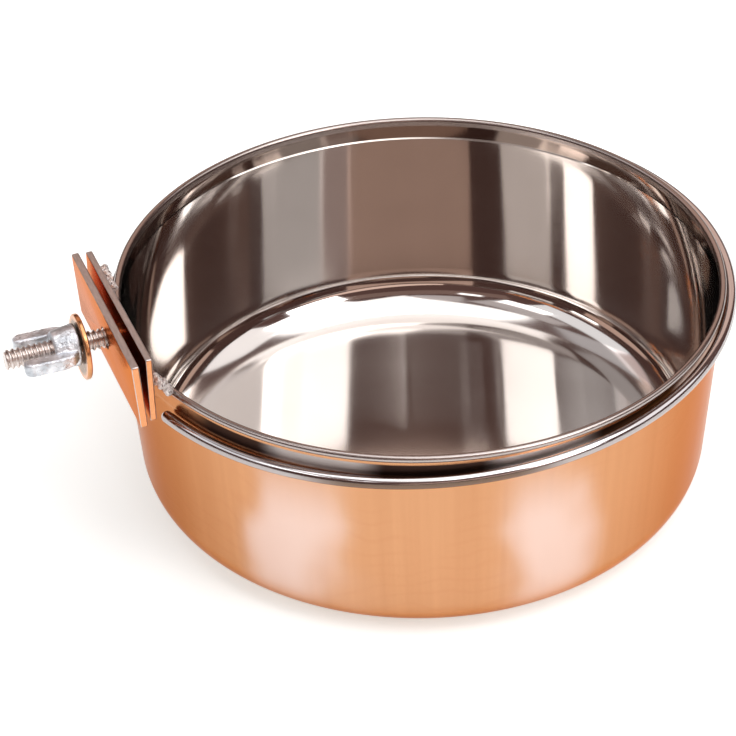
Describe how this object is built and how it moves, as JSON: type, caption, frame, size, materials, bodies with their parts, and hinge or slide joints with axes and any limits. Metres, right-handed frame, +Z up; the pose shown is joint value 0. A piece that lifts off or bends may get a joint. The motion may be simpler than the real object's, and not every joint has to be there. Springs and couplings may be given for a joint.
{
  "type": "cage mounted dog bowl",
  "caption": "Round drawn-metal feeding bowl with a wire ring under its lip and a bolt-on jaw clamp that a wing nut tightens on cage bars.",
  "frame": {"origin": "centre of the bowl's flat foot, on the bowl's axis", "axes": "+Z up along the bowl's axis, the clamp and its bolt towards -X"},
  "size_m": [0.1743, 0.1484, 0.0652],
  "materials": {
    "bowl": "mirror-polished sheet steel, copper-coloured outside and bare inside",
    "polished_steel": "polished steel wire",
    "jaw_plate": "copper-coloured polished plate with bare grey edges",
    "weld": "rough weld crust",
    "bolt_steel": "rolled thread, plated steel",
    "washer": "copper-coloured plated steel",
    "zinc": "satin cast zinc"
  },
  "bodies": {
    "bowl_body": {"bowl": "bowl", "rim_ring": "polished_steel", "fixed_plate": "jaw_plate", "weld_near": "weld", "weld_far": "weld", "clamp_bolt": "bolt_steel"},
    "clamp_plate": {"clamp_plate": "jaw_plate"},
    "washer": {"washer": "washer"},
    "wing_nut": {"wing_nut": "zinc"}
  },
  "joints": [
    {"name": "clamp_plate_slide", "type": "slide", "parent": "bowl_body", "child": "clamp_plate", "axis": [-1, 0, 0], "range_m": [0, 0.003]},
    {"name": "nut_travel", "type": "slide", "parent": "bowl_body", "child": "washer", "axis": [-1, 0, 0], "range_m": [-0.0012, 0.0108]},
    {"name": "nut_spin", "type": "hinge", "parent": "washer", "child": "wing_nut", "pos_m": [-0.08325, 0, 0.0569], "axis": [-1, 0, 0], "range_deg": [-340, 3061]}
  ],
  "couplings": [
    {"joint": "nut_travel", "follows": "nut_spin", "m_per_rad": 0.00020213}
  ]
}
